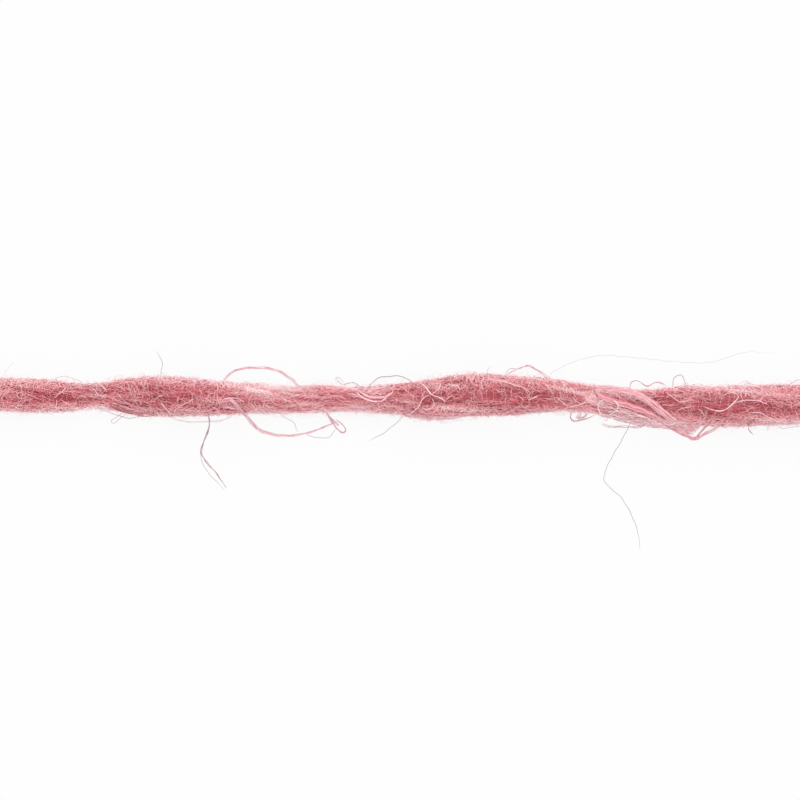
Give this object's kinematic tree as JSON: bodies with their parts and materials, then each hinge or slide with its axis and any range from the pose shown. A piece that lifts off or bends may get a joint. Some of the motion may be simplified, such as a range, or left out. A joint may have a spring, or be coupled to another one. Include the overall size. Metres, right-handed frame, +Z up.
{
  "type": "straight cut length of single-ply knitting yarn",
  "caption": "Soft single-ply knitting yarn, a straight cut length with uneven thickness, slow twist, fuzzy surface and loose fibres.",
  "frame": {"origin": "on the surface that the strand lies on, under the middle of its cut length", "axes": "+X along the strand, +Y across it, +Z up from the surface"},
  "size_m": [0.0948, 0.0201, 0.0033],
  "materials": {
    "rose_wool": "matte, hairy wool in dusty rose with crimson hollows and paler surface fibres"
  },
  "bodies": {
    "root": {"yarn": "rose_wool"}
  },
  "joints": []
}
